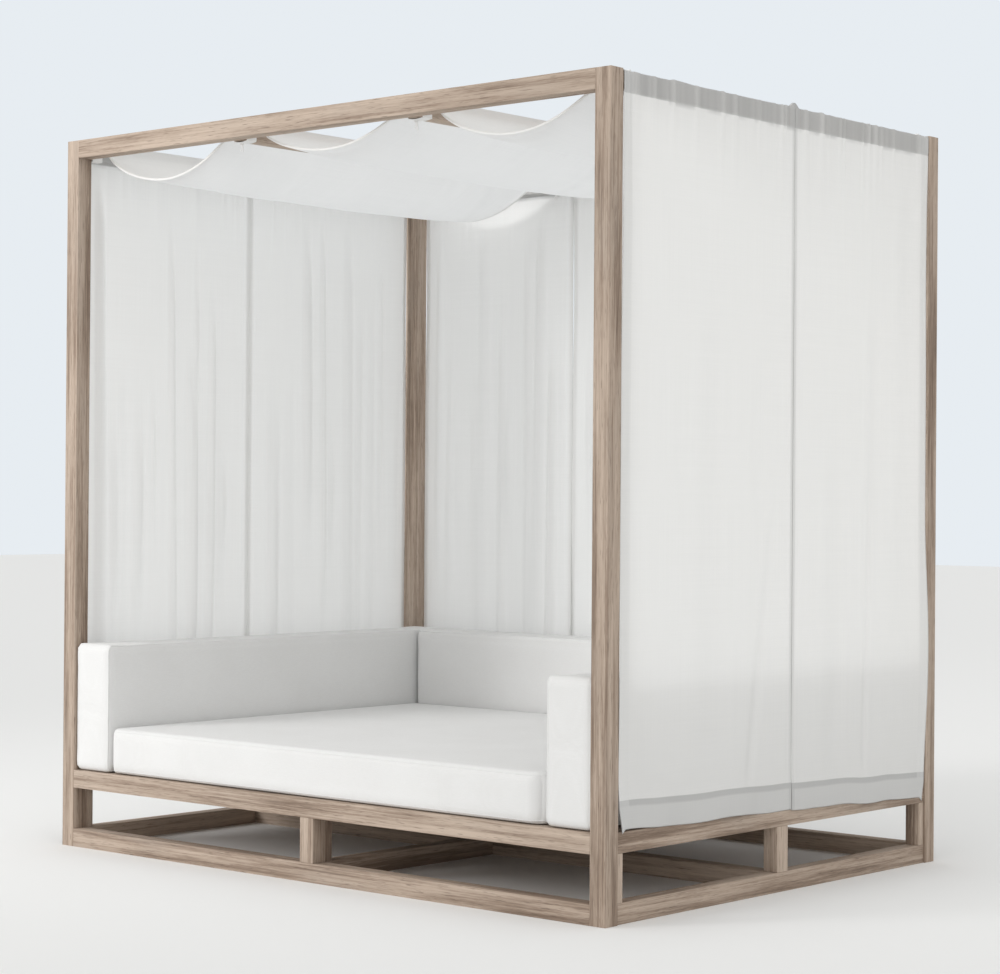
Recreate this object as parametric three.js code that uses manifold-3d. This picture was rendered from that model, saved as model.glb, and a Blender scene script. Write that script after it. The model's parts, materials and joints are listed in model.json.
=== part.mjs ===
// Outdoor daybed with a canopy. Four posts and their rails carry a slatted seat with loose cushions,
// curtains on the side and back beams, and a sun sheet that hangs in swags over cross slats.
// Millimetres, +Z up, front towards -Y. The origin is on the floor, under the middle of the frame.

import * as THREE from 'three';
import { mergeVertices } from 'three/addons/utils/BufferGeometryUtils.js';
import Module from 'manifold-3d';

const wasm = await Module();
wasm.setup();

// Frame, over the posts
const frameWidth = 2100;
const frameDepth = 1550;
const frameHeight = 2130;

// Timber sections
const postSize = 50;
const railThickness = 50;
const railHeight = 53;
const frontBeamHeight = 53;
const drapedBeamHeight = 50;
const midStileWidth = 50;
const endStileWidth = 25;
const innerRailWidth = 50;
const canopySlatWidth = 50;
const canopySlatHeight = 50;
const cleatSize = 25;

// Seat deck, whose top is level with the seat rails
const seatHeight = 230;
const deckThickness = 20;
const deckSlatWidth = 70;
const deckSlatSpacing = 22;
const battenWidth = 40;
const battenHeight = 20;
const battenLetIn = 2;
const battenSetback = 10;

// Joinery
const jointGap = 0.3;
const tenonLength = 12;
const tenonThickness = 10;
const tenonWidthShare = 0.6;
const lapShare = 0.5;

// Cloth, drawn thicker than it is. The side and back frames stand back from the posts' outer faces
// and tops, which leaves room there for a curtain and the sun sheet on it. They are flush inside.
const clothThickness = 2;
const clothClearance = 0.3;
const clothEase = 0.4;
const clothInset = 2 * (clothThickness + clothClearance) + clothEase;
const curtainEndGap = clothThickness + 2 * clothClearance + clothEase;

// Curtains, in panels that draw along their beams
const panelGap = 1.5;
const leadHemWidth = 25;
const rightSeamOffset = 35;
const leftSeamOffset = -25;
const hemFrontAboveSeat = 4;
const hemSeamBelowSeat = 11;
const hemBackBelowSeat = 37;
const rightFoldDepth = 11;
const leftFoldDepth = 20;
const backFoldDepth = 17;
const foldSpacing = 150;
const foldUnevenShare = 0.3;
const curtainSteps = 20;

// From the beam (0) to the hem (1): how far down each level is, and how deep the folds are there
const curtainLevelShares = [
  { down: 0.15, fold: 1 },
  { down: 0.5, fold: 0.9 },
  { down: 0.8, fold: 0.6 },
  { down: 0.96, fold: 0 },
  { down: 1, fold: 0 },
];

// Sun sheet
const canopySideSetback = 12;
const canopyFrontSetback = 90;
const canopyBackSetback = 90;
const swagSags = [134, 103, 124];
const swagMiddleDroop = 8;
const swagSkewShare = 0.78;
const swagSteps = 9;
const canopySteps = 4;
const tieWidth = 37;
const tieOverlap = 5;
const tieDrop = 42;

// Cushions
const cushionGap = 2;
const cushionFrontSetback = 3;
const bolsterWidth = 150;
const backBolsterDepth = 160;
const bolsterHeight = 385;
const bolsterRadius = 28;
const bolsterCrown = 6;
const bolsterDrawIn = 5;
const mattressHeight = 130;
const mattressRadius = 34;
const mattressCrown = 8;
const mattressDrawIn = 7;

// Finishes
const timberLook = { color: 0x97806d, roughness: 0.8, metalness: 0 };
const cushionLook = { color: 0xe9e7e4, roughness: 0.95, metalness: 0 };
const curtainLook = { color: 0xdfdddb, roughness: 0.9, metalness: 0 };
const canopyLook = { color: 0xe4e2df, roughness: 0.9, metalness: 0 };

// Planes that several pieces share
const halfWidth = frameWidth / 2;
const halfDepth = frameDepth / 2;
const innerX = halfWidth - postSize;
const innerY = halfDepth - postSize;
const drapedOuterX = halfWidth - clothInset;
const drapedOuterY = halfDepth - clothInset;
const frontInnerY = -halfDepth + railThickness;
const drapedTop = frameHeight - clothInset;
const seatRailBottom = seatHeight - railHeight;
const deckBottom = seatHeight - deckThickness;
const cleatTop = deckBottom - jointGap;
const hemFront = seatHeight + hemFrontAboveSeat;
const hemSeam = seatHeight - hemSeamBelowSeat;
const hemBack = seatHeight - hemBackBelowSeat;
const canopyBayWidth = (2 * innerX - 2 * canopySlatWidth) / 3;
const canopySlatX = [canopyBayWidth / 2, canopyBayWidth / 2 + canopySlatWidth];

const sides = [
  { side: -1, word: 'left' },
  { side: 1, word: 'right' },
];
const ends = [
  { end: -1, word: 'front' },
  { end: 1, word: 'back' },
];

const centred = (size) => [-size / 2, size / 2];
const between = (low, high) => [low + jointGap, high - jointGap];
const mirrored = ([low, high], side) => (side > 0 ? [low, high] : [-high, -low]);

const daybed = new THREE.Group();

function addMesh(group, name, geometry, look) {
  const mesh = new THREE.Mesh(geometry, new THREE.MeshStandardMaterial(look));
  mesh.name = name;
  group.add(mesh);
  return mesh;
}

// One vertex at each corner, which closes the shell
function welded(geometry) {
  geometry.deleteAttribute('normal');
  geometry.deleteAttribute('uv');
  const closed = mergeVertices(geometry);
  closed.computeVertexNormals();
  return closed;
}

function toSolid(geometry) {
  const closed = welded(geometry);
  return new wasm.Manifold(
    new wasm.Mesh({
      numProp: 3,
      vertProperties: new Float32Array(closed.attributes.position.array),
      triVerts: new Uint32Array(closed.index.array),
    }),
  );
}

function toGeometry(solid) {
  const { vertProperties, triVerts } = solid.getMesh();
  const geometry = new THREE.BufferGeometry();
  geometry.setAttribute('position', new THREE.BufferAttribute(vertProperties, 3));
  geometry.setIndex(new THREE.BufferAttribute(triVerts, 1));
  geometry.computeVertexNormals();
  return geometry;
}

// A box between two values on each axis
function block(x, y, z) {
  const size = [x, y, z].map(([low, high]) => high - low);
  const middle = [x, y, z].map(([low, high]) => (low + high) / 2);
  return new THREE.BoxGeometry(...size).translate(...middle);
}

const joined = (solids) => solids.reduce((whole, solid) => whole.add(solid));

// Timber members. Each is a box of three spans. A tenon runs along one axis, at both ends, and is
// thin across another, and every member that it reaches into is cut for it.
const members = [];

function addMember(name, x, y, z, tenon = null) {
  members.push({ name, spans: [x, y, z], tenon, cuts: [] });
}

const AXES = ['x', 'y', 'z'];

// The two tenons of a member, or with growth the pockets that they fit
function tenonSpans({ spans, tenon }, growth) {
  const along = AXES.indexOf(tenon.along);
  const thin = AXES.indexOf(tenon.thin);
  return [0, 1].map((tip) =>
    spans.map(([low, high], axis) => {
      const middle = (low + high) / 2;
      if (axis === along) {
        const root = tip ? high : low;
        const reach = tenonLength + growth;
        return tip ? [root - growth, root + reach] : [root - reach, root + growth];
      }
      const width = axis === thin ? tenonThickness : tenonWidthShare * (high - low);
      return [middle - width / 2 - growth, middle + width / 2 + growth];
    }),
  );
}

const meet = (spans, others) =>
  spans.every(([low, high], axis) => low < others[axis][1] && others[axis][0] < high);

function addTimber() {
  const alongX = { along: 'x', thin: 'y' };
  const alongY = { along: 'y', thin: 'x' };
  const upFront = { along: 'z', thin: 'y' };
  const upSide = { along: 'z', thin: 'x' };
  const seatRailZ = [seatRailBottom, seatHeight];
  const floorRailZ = [0, railHeight];
  const stileZ = between(railHeight, seatRailBottom);
  const drapedBeamZ = [drapedTop - drapedBeamHeight, drapedTop];

  for (const { side, word: sideWord } of sides) {
    for (const { end, word: endWord } of ends) {
      const x = mirrored([innerX, halfWidth], side);
      const y = mirrored([innerY, halfDepth], end);
      addMember(`${endWord}_${sideWord}_post`, x, y, [0, frameHeight]);
    }
  }

  // Front and back frames, between the posts
  const acrossX = between(-innerX, innerX);
  const frontY = [-halfDepth, frontInnerY];
  const backY = [innerY, drapedOuterY];
  const frontBeamZ = [frameHeight - frontBeamHeight, frameHeight];
  for (const [word, y, beamZ] of [
    ['front', frontY, frontBeamZ],
    ['back', backY, drapedBeamZ],
  ]) {
    addMember(`${word}_top_beam`, acrossX, y, beamZ, alongX);
    addMember(`${word}_seat_rail`, acrossX, y, seatRailZ, alongX);
    addMember(`${word}_floor_rail`, acrossX, y, floorRailZ, alongX);
    addMember(`${word}_centre_stile`, centred(midStileWidth), y, stileZ, upFront);
  }

  // Side frames, each a flat panel that stands between two posts, and the beam above it
  const acrossY = between(-innerY, innerY);
  const endStileY = [acrossY[1] - endStileWidth, acrossY[1]];
  for (const { side, word } of sides) {
    const x = mirrored([innerX, drapedOuterX], side);
    addMember(`${word}_seat_rail`, x, acrossY, seatRailZ);
    addMember(`${word}_floor_rail`, x, acrossY, floorRailZ);
    addMember(`${word}_front_stile`, x, mirrored(endStileY, -1), stileZ, upSide);
    addMember(`${word}_centre_stile`, x, centred(midStileWidth), stileZ, upSide);
    addMember(`${word}_back_stile`, x, endStileY, stileZ, upSide);
    addMember(`${word}_top_beam`, x, acrossY, drapedBeamZ, alongY);
  }

  // Inner cross of floor rails and seat bearers, with a stile at the front and back of its short arm
  const crossX = centred(innerRailWidth);
  const lengthX = between(-innerX, innerX);
  const lengthY = between(frontInnerY, innerY);
  const bearerZ = [seatRailBottom, cleatTop];
  addMember('lengthwise_floor_rail', lengthX, centred(innerRailWidth), floorRailZ);
  addMember('crosswise_floor_rail', crossX, lengthY, floorRailZ);
  addMember('lengthwise_bearer', lengthX, centred(innerRailWidth), bearerZ);
  addMember('crosswise_bearer', crossX, lengthY, bearerZ);
  addMember('crosswise_front_stile', crossX, [lengthY[0], lengthY[0] + endStileWidth], stileZ, upSide);
  addMember('crosswise_back_stile', crossX, [lengthY[1] - endStileWidth, lengthY[1]], stileZ, upSide);

  // Cleats on the front and back rails, which carry the ends of the deck slats
  const cleatX = between(innerRailWidth / 2, innerX);
  const cleatZ = [cleatTop - cleatSize, cleatTop];
  for (const { side, word } of sides) {
    const x = mirrored(cleatX, side);
    addMember(`front_${word}_cleat`, x, [lengthY[0], lengthY[0] + cleatSize], cleatZ);
    addMember(`back_${word}_cleat`, x, [lengthY[1] - cleatSize, lengthY[1]], cleatZ);
  }

  // Two slats that part the open top into three bays
  for (const { side, word } of sides) {
    const x = mirrored(canopySlatX, side);
    const z = [drapedTop - canopySlatHeight, drapedTop];
    addMember(`${word}_canopy_slat`, x, lengthY, z, alongY);
  }

  for (const giver of members.filter(({ tenon }) => tenon)) {
    for (const pocket of tenonSpans(giver, jointGap)) {
      for (const taker of members) {
        if (taker !== giver && meet(pocket, taker.spans)) taker.cuts.push(pocket);
      }
    }
  }
  cutLap('lengthwise_floor_rail', 'crosswise_floor_rail');
  cutLap('lengthwise_bearer', 'crosswise_bearer');

  for (const member of members) {
    const tenons = member.tenon ? tenonSpans(member, 0) : [];
    const whole = [member.spans, ...tenons].map((spans) => toSolid(block(...spans)));
    const cut = member.cuts.map((spans) => toSolid(block(...spans)));
    const solid = cut.reduce((left, pocket) => left.subtract(pocket), joined(whole));
    addMesh(daybed, member.name, toGeometry(solid), timberLook);
  }
}

// Two members that cross at one height each lose half of it: the lower keeps its bottom
function cutLap(lowerName, upperName) {
  const lower = members.find(({ name }) => name === lowerName);
  const upper = members.find(({ name }) => name === upperName);
  const [bottom, top] = lower.spans[2];
  const lapZ = bottom + lapShare * (top - bottom);
  const room = ([low, high]) => [low - jointGap, high + jointGap];
  lower.cuts.push([room(upper.spans[0]), room(upper.spans[1]), [lapZ - jointGap, top + jointGap]]);
  upper.cuts.push([room(lower.spans[0]), room(lower.spans[1]), [bottom - jointGap, lapZ]]);
}

// Each half of the deck is one drop-in panel: slats that run front to back on two battens
function addDeck() {
  const panelX = between(0, innerX);
  const slatY = between(frontInnerY, innerY);
  const panelWidth = panelX[1] - panelX[0];
  const slats = Math.floor((panelWidth + deckSlatSpacing) / (deckSlatWidth + deckSlatSpacing));
  const pitch = (panelWidth - deckSlatWidth) / (slats - 1);
  const battenX = [innerRailWidth / 2 + battenSetback, panelX[1] - battenSetback];
  const battenZ = [deckBottom - battenHeight, deckBottom + battenLetIn];
  const battenMiddle = (slatY[1] - cleatSize + innerRailWidth / 2) / 2;

  for (const { side, word } of sides) {
    const pieces = [];
    for (let i = 0; i < slats; i += 1) {
      const start = panelX[0] + i * pitch;
      const x = mirrored([start, start + deckSlatWidth], side);
      pieces.push(block(x, slatY, [deckBottom, seatHeight]));
    }
    for (const { end } of ends) {
      const y = centred(battenWidth).map((value) => value + end * battenMiddle);
      pieces.push(block(mirrored(battenX, side), y, battenZ));
    }
    addMesh(daybed, `${word}_seat_deck`, toGeometry(joined(pieces.map(toSolid))), timberLook);
  }
}

// A soft box: rounded edges, a crowned top, and sides that draw in between the corners. Its flat
// base is at zero. Two rows of cells beside each edge make the round, on the angles of a circle.
function cushion({ width, depth, height, radius, crown, drawIn, cells }) {
  const roundShare = Math.tan(Math.PI / 8);
  const halves = [width / 2, depth / 2, height / 2];
  const counts = cells.map((inner) => inner + 4);
  const geometry = welded(new THREE.BoxGeometry(1, 1, 1, ...counts));
  const place = geometry.attributes.position;

  const along = (unit, axis) => {
    const line = Math.round((unit + 0.5) * counts[axis]);
    const half = halves[axis];
    const flat = half - radius;
    const fromEnd = Math.min(line, counts[axis] - line);
    const sign = line * 2 < counts[axis] ? -1 : 1;
    if (fromEnd === 0) return sign * half;
    if (fromEnd === 1) return sign * (flat + roundShare * radius);
    return -flat + (2 * flat * (line - 2)) / cells[axis];
  };

  for (let i = 0; i < place.count; i += 1) {
    const raw = [place.getX(i), place.getY(i), place.getZ(i)].map(along);
    const core = raw.map((value, axis) => {
      const flat = halves[axis] - radius;
      return Math.max(-flat, Math.min(flat, value));
    });
    const push = new THREE.Vector3(...raw.map((value, axis) => value - core[axis]));
    push.setLength(radius);
    const [x, y, z] = [core[0] + push.x, core[1] + push.y, core[2] + push.z];
    const across = 1 - (x / halves[0]) ** 2;
    const deep = 1 - (y / halves[1]) ** 2;
    const up = (z + halves[2]) / height;
    place.setXYZ(
      i,
      x - Math.sign(push.x) * drawIn * deep * Math.min(1, Math.abs(push.x) / radius),
      y - Math.sign(push.y) * drawIn * across * Math.min(1, Math.abs(push.y) / radius),
      up * (height - crown + crown * across * deep),
    );
  }
  geometry.computeVertexNormals();
  return geometry;
}

function addCushions() {
  const seat = seatHeight + jointGap;
  const frontY = -halfDepth + cushionFrontSetback;
  const bolsterX = [innerX - cushionGap - bolsterWidth, innerX - cushionGap];
  const bolsterDepth = innerY - frontY;
  const mattressHalf = bolsterX[0] - cushionGap;
  const backY = innerY - backBolsterDepth;
  const mattressDepth = backY - cushionGap - frontY;
  const bolster = {
    height: bolsterHeight,
    radius: bolsterRadius,
    crown: bolsterCrown,
    drawIn: bolsterDrawIn,
  };

  for (const { side, word } of sides) {
    const size = { width: bolsterWidth, depth: bolsterDepth, cells: [1, 4, 1] };
    const mesh = addMesh(daybed, `${word}_bolster`, cushion({ ...bolster, ...size }), cushionLook);
    mesh.position.set((side * (bolsterX[0] + bolsterX[1])) / 2, frontY + bolsterDepth / 2, seat);
  }

  const backSize = { width: 2 * mattressHalf, depth: backBolsterDepth, cells: [5, 1, 1] };
  const back = addMesh(daybed, 'back_bolster', cushion({ ...bolster, ...backSize }), cushionLook);
  back.position.set(0, backY + backBolsterDepth / 2, seat);

  const mattress = addMesh(
    daybed,
    'mattress',
    cushion({
      width: 2 * mattressHalf,
      depth: mattressDepth,
      height: mattressHeight,
      radius: mattressRadius,
      crown: mattressCrown,
      drawIn: mattressDrawIn,
      cells: [6, 4, 1],
    }),
    cushionLook,
  );
  mattress.position.set(0, frontY + mattressDepth / 2, seat);
}

// The section of a curtain on its beam, seen along the beam: x is outwards from the posts' outer
// faces and y is up. The pocket goes round the beam, and the cloth hangs from its outer side.
const pocketOut = -clothInset + clothClearance + clothThickness;
const pocketIn = -postSize - clothClearance - clothThickness;
const pocketTop = drapedTop + clothClearance + clothThickness;
const pocketBottom = drapedTop - drapedBeamHeight - clothClearance - clothThickness;

function curtainSection(hem) {
  const heightAt = (down) => pocketBottom - down * (pocketBottom - hem);
  const levels = curtainLevelShares.map(({ down }) => heightAt(down));
  const section = new THREE.Shape();
  section.moveTo(pocketOut, pocketTop);
  section.lineTo(pocketIn, pocketTop);
  section.lineTo(pocketIn, pocketBottom);
  section.lineTo(pocketOut - clothThickness, pocketBottom);
  levels.forEach((y) => section.lineTo(pocketOut - clothThickness, y));
  levels.reverse().forEach((y) => section.lineTo(pocketOut, y));
  section.lineTo(pocketOut, pocketBottom);
  section.closePath();

  const hole = new THREE.Path();
  hole.moveTo(pocketOut - clothThickness, pocketTop - clothThickness);
  hole.lineTo(pocketOut - clothThickness, pocketBottom + clothThickness);
  hole.lineTo(pocketIn + clothThickness, pocketBottom + clothThickness);
  hole.lineTo(pocketIn + clothThickness, pocketTop - clothThickness);
  hole.closePath();
  section.holes.push(hole);
  return section;
}

// How deep the folds are at a height, as a share of the deepest
function foldShareAt(down) {
  let above = { down: 0, fold: 0 };
  for (const level of curtainLevelShares) {
    if (down <= level.down) {
      const part = (down - above.down) / (level.down - above.down);
      return above.fold + part * (level.fold - above.fold);
    }
    above = level;
  }
  return above.fold;
}

// A section swept along z in equal steps. The two sides of a thin cloth run opposite ways round it,
// so each cell is cut from its upper corner, and both sides fold along the same diagonals.
function swept(section, width, steps) {
  const { shape, holes } = section.extractPoints(1);
  const caps = THREE.ShapeUtils.triangulateShape(shape, holes);
  const rings = [shape, ...holes];
  const points = rings.flat();
  const places = [];
  const corners = [];
  for (let step = 0; step <= steps; step += 1) {
    points.forEach(({ x, y }) => places.push(x, y, (step * width) / steps));
  }
  caps.forEach(([a, b, c]) => {
    const far = steps * points.length;
    corners.push(c, b, a, far + a, far + b, far + c);
  });

  let start = 0;
  for (const ring of rings) {
    for (let i = 0; i < ring.length; i += 1) {
      const j = (i + 1) % ring.length;
      const falls = ring[i].y > ring[j].y;
      for (let step = 0; step < steps; step += 1) {
        const near = start + step * points.length;
        const [a, b] = [near + i, near + j];
        const [c, d] = [b + points.length, a + points.length];
        corners.push(...(falls ? [a, b, c, a, c, d] : [a, b, d, b, c, d]));
      }
    }
    start += ring.length;
  }
  const geometry = new THREE.BufferGeometry();
  geometry.setAttribute('position', new THREE.Float32BufferAttribute(places, 3));
  geometry.setIndex(corners);
  return geometry;
}

// Cloth from one place on the beam to another. The hem runs from one height to another, and the
// folds swing inwards, deep and shallow by turns, and die out towards both edges.
function curtainCloth({ from, to, hems, foldDepth, steps }) {
  const width = to - from;
  const geometry = swept(curtainSection(hems[0]), width, steps);
  const place = geometry.attributes.position;
  const folds = Math.max(1, Math.round(width / foldSpacing));
  for (let i = 0; i < place.count; i += 1) {
    const part = place.getZ(i) / width;
    const hem = hems[0] + part * (hems[1] - hems[0]);
    const down = Math.max(0, (pocketBottom - place.getY(i)) / (pocketBottom - hems[0]));
    const wave = (1 - Math.cos(2 * Math.PI * folds * part)) / 2;
    const uneven = 1 - foldUnevenShare * (1 - Math.cos(Math.PI * folds * part));
    const inwards = foldDepth * foldShareAt(down) * wave * uneven;
    place.setX(i, place.getX(i) - inwards);
    if (down > 0) place.setY(i, pocketBottom - down * (pocketBottom - hem));
    place.setZ(i, from + place.getZ(i));
  }
  geometry.computeVertexNormals();
  return geometry;
}

// A pocket stops short of the canopy slats, which meet the back beam inside it
function clearOfSlats(geometry) {
  const inwards = [pocketIn - clothClearance, -postSize];
  const upright = [drapedTop - canopySlatHeight - clothClearance, drapedTop + clothClearance];
  const solid = sides.reduce((left, { side }) => {
    const [start, end] = mirrored(canopySlatX, side).map((x) => innerX + x);
    const room = [start - clothClearance, end + clothClearance];
    return left.subtract(toSolid(block(inwards, upright, room)));
  }, toSolid(geometry));
  return toGeometry(solid);
}

// A curtain is cloth that is held at one end, and a leading hem that is drawn along the beam
function addCurtain(wall, name, { from, to, hems, foldDepth, leadAtStart, meetsSlats }) {
  const hemSpan = leadAtStart ? [from, from + leadHemWidth] : [to - leadHemWidth, to];
  const clothSpan = leadAtStart ? [hemSpan[1] + jointGap, to] : [from, hemSpan[0] - jointGap];
  const leadHem = leadAtStart ? hems[0] : hems[1];
  const cloth = { from: clothSpan[0], to: clothSpan[1], hems, foldDepth, steps: curtainSteps };
  const lead = { from: hemSpan[0], to: hemSpan[1], hems: [leadHem, leadHem], foldDepth: 0, steps: 1 };
  const shaped = (panel) => (meetsSlats ? clearOfSlats(curtainCloth(panel)) : curtainCloth(panel));
  addMesh(wall, `${name}_curtain`, shaped(cloth), curtainLook);
  addMesh(wall, `${name}_curtain_lead`, shaped(lead), curtainLook);
}

// A wall is a group whose x points outwards and y points up, so that z runs along the beam
function addWall(outward, corner) {
  const up = new THREE.Vector3(0, 0, 1);
  const along = new THREE.Vector3().crossVectors(outward, up);
  const wall = new THREE.Group();
  wall.setRotationFromMatrix(new THREE.Matrix4().makeBasis(outward, up, along));
  wall.position.copy(corner);
  daybed.add(wall);
  return wall;
}

function addCurtains() {
  const first = curtainEndGap;
  const sideLast = 2 * innerY - curtainEndGap;
  const backLast = 2 * innerX - curtainEndGap;

  // The right wall runs from the back post to the front post
  const right = addWall(new THREE.Vector3(1, 0, 0), new THREE.Vector3(halfWidth, innerY, 0));
  const rightSeam = innerY - rightSeamOffset;
  addCurtain(right, 'right_back', {
    from: first,
    to: rightSeam - panelGap / 2,
    hems: [hemBack, hemSeam],
    foldDepth: rightFoldDepth,
  });
  addCurtain(right, 'right_front', {
    from: rightSeam + panelGap / 2,
    to: sideLast,
    hems: [hemSeam, hemFront],
    foldDepth: rightFoldDepth,
    leadAtStart: true,
  });

  // The left wall runs from the front post to the back post
  const left = addWall(new THREE.Vector3(-1, 0, 0), new THREE.Vector3(-halfWidth, -innerY, 0));
  const leftSeam = innerY + leftSeamOffset;
  addCurtain(left, 'left_front', {
    from: first,
    to: leftSeam - panelGap / 2,
    hems: [hemFront, hemSeam],
    foldDepth: leftFoldDepth,
  });
  addCurtain(left, 'left_back', {
    from: leftSeam + panelGap / 2,
    to: sideLast,
    hems: [hemSeam, hemBack],
    foldDepth: leftFoldDepth,
    leadAtStart: true,
  });

  // The back wall runs from the left post to the right post, in three equal panels
  const back = addWall(new THREE.Vector3(0, 1, 0), new THREE.Vector3(-innerX, halfDepth, 0));
  const third = (2 * innerX) / 3;
  const level = { hems: [hemSeam, hemSeam], foldDepth: backFoldDepth, meetsSlats: true };
  addCurtain(back, 'back_left', { ...level, from: first, to: third - panelGap / 2 });
  addCurtain(back, 'back_middle', {
    ...level,
    from: third + panelGap / 2,
    to: 2 * third - panelGap / 2,
  });
  addCurtain(back, 'back_right', {
    ...level,
    from: 2 * third + panelGap / 2,
    to: backLast,
    leadAtStart: true,
  });
}

// The sheet's underside, seen from the front, from the left edge to the right: flat over the beams
// and slats, with a swag in each bay that is deepest left of its middle
function canopyLine() {
  const overBeam = pocketTop + clothClearance;
  const overSlat = drapedTop + clothClearance;
  const beamEdge = halfWidth + pocketIn - clothClearance;
  const bays = [
    [-beamEdge, -canopySlatX[1] - clothClearance],
    [-canopySlatX[0] + clothClearance, canopySlatX[0] - clothClearance],
    [canopySlatX[1] + clothClearance, beamEdge],
  ];
  const heights = [overBeam, overSlat, overSlat, overBeam];
  const line = [new THREE.Vector3(-halfWidth + canopySideSetback, overBeam, 0)];
  bays.forEach(([start, end], bay) => {
    for (let i = 0; i <= swagSteps; i += 1) {
      const part = i / swagSteps;
      const skewed = part ** swagSkewShare;
      const drop = 4 * skewed * (1 - skewed);
      const level = heights[bay] + part * (heights[bay + 1] - heights[bay]);
      const height = level - swagSags[bay] * drop;
      line.push(new THREE.Vector3(start + part * (end - start), height, drop));
    }
  });
  line.push(new THREE.Vector3(halfWidth - canopySideSetback, overBeam, 0));
  return line;
}

function addCanopy() {
  const depth = frameDepth - canopyFrontSetback - canopyBackSetback;
  const under = canopyLine();
  const section = new THREE.Shape();
  section.moveTo(under[0].x, under[0].y);
  under.slice(1).forEach(({ x, y }) => section.lineTo(x, y));
  [...under].reverse().forEach(({ x, y }) => section.lineTo(x, y + clothThickness));
  section.closePath();

  // The swags hang a little lower half way between the sheet's free edges
  const settings = { depth, steps: canopySteps, bevelEnabled: false };
  const sheet = welded(new THREE.ExtrudeGeometry(section, settings));
  const place = sheet.attributes.position;
  const dropAt = (x) => under.reduce((best, point) =>
    Math.abs(point.x - x) < Math.abs(best.x - x) ? point : best).z;
  for (let i = 0; i < place.count; i += 1) {
    const middle = Math.sin((Math.PI * place.getZ(i)) / depth);
    place.setY(i, place.getY(i) - swagMiddleDroop * middle * dropAt(place.getX(i)));
  }
  sheet.rotateX(Math.PI / 2).translate(0, halfDepth - canopyBackSetback, 0);

  // Ties at the four corners lie over the curtain pockets and turn down inside the beams. Those at
  // the slats are loops. All are sewn to the sheet's front and back edges.
  const solids = [toSolid(sheet)];
  for (const { end } of ends) {
    const edge = end < 0 ? halfDepth - canopyFrontSetback : halfDepth - canopyBackSetback;
    const tieY = mirrored([edge + clothClearance, edge + clothClearance + tieWidth], end);
    const sewnY = mirrored([edge - tieOverlap, edge + clothClearance + tieWidth], end);
    for (const { side } of sides) {
      const overBeam = pocketTop + clothClearance;
      const beamIn = halfWidth + pocketIn - clothClearance;
      const tieTop = overBeam + clothThickness;
      const sewnX = mirrored([beamIn, halfWidth - canopySideSetback], side);
      const flapX = mirrored([beamIn - clothThickness, halfWidth - canopySideSetback], side);
      const dropX = mirrored([beamIn - clothThickness, beamIn], side);
      solids.push(toSolid(block(sewnX, sewnY, [overBeam, tieTop])));
      solids.push(toSolid(block(flapX, tieY, [overBeam, tieTop])));
      solids.push(toSolid(block(dropX, tieY, [tieTop - tieDrop, tieTop])));

      const slatX = mirrored(canopySlatX, side);
      const loopHole = [slatX, [drapedTop - canopySlatHeight, drapedTop]];
      const grown = (growth) => loopHole.map(([low, high]) => [low - growth, high + growth]);
      const [outX, outZ] = grown(clothClearance + clothThickness);
      const [inX, inZ] = grown(clothClearance);
      const cutY = [tieY[0] - tieOverlap, tieY[1] + tieOverlap];
      const loop = toSolid(block(outX, tieY, outZ)).subtract(toSolid(block(inX, cutY, inZ)));
      solids.push(loop);
      solids.push(toSolid(block(slatX, sewnY, [inZ[1], outZ[1]])));
    }
  }
  addMesh(daybed, 'canopy_sheet', toGeometry(joined(solids)), canopyLook);
}

addTimber();
addDeck();
addCushions();
addCurtains();
addCanopy();

export default daybed;
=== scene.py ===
# %% [markdown]
# # An outdoor daybed with a canopy
# A frame of weathered timber stands about a wide seat with loose cushions. Thin curtains hang from
# the side and back beams, and a sun sheet lies over two slats and sags between them.
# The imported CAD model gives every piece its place. This lesson dresses it: timber with eased edges
# and grain, stuffed cushions, and cloth that hangs, gathers and lets light through.
# Blender works in metres here, +Z is up, the front looks towards -Y.

# %% Load the frame
import json
import math
import random

import bpy
import numpy as np
from mathutils import Matrix, Vector, noise
from mathutils.bvhtree import BVHTree


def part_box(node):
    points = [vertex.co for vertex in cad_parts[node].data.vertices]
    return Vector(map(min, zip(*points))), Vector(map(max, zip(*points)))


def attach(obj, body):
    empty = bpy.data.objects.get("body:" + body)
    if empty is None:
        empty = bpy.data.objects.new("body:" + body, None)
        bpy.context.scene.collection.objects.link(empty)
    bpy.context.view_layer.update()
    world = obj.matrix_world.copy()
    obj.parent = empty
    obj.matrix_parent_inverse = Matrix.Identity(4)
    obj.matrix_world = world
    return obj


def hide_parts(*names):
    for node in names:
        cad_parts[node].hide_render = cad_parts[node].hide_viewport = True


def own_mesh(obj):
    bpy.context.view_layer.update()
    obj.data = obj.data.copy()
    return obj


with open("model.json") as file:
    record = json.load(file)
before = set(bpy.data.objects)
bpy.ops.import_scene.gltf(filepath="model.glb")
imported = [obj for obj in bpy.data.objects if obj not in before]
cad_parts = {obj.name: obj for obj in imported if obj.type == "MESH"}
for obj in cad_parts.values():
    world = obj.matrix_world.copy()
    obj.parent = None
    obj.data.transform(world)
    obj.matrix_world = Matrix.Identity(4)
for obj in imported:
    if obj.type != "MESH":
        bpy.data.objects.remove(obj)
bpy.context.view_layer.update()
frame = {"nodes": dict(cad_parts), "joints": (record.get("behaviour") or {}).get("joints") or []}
bpy.ops.object.select_all(action="DESELECT")

# %% [markdown]
# ## The camera
# The photograph was matched to the frame's corners, which gave one long lens, a little above the
# cushions' height, that looks past the front right post. A camera looks down its own -Z, so it is
# tipped up by a right angle and its pitch, then turned, and rolled about its own axis.

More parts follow.
